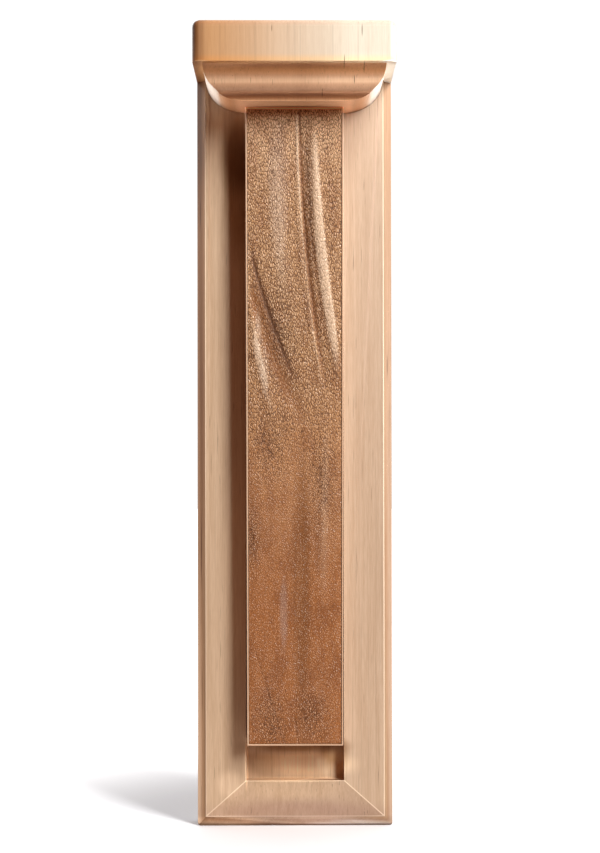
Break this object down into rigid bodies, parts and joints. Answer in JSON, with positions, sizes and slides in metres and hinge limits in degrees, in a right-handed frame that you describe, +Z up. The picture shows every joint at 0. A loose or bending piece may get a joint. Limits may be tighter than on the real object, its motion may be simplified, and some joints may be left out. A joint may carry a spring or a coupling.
{
  "type": "wall corbel",
  "caption": "Tall wooden wall corbel: a rounded cap over a moulded bell, a bevelled back board and a raised tongue faced with creased brown leather.",
  "frame": {"origin": "the middle of the flat back, half-way between the foot and the top of the cap, where the corbel is fixed to the wall", "axes": "+Z up, +Y into the wall, so the face looks along -Y, and +X to the right as seen from the front"},
  "size_m": [0.127, 0.076, 0.512],
  "materials": {
    "board_wood": "satin",
    "capital_wood": "satin",
    "tongue_wood": "satin",
    "brown_leather": "waxed, softly creased"
  },
  "bodies": {
    "root": {"frame": "board_wood", "capital": "capital_wood", "tongue": "tongue_wood", "leather_panel": "brown_leather"}
  },
  "joints": []
}
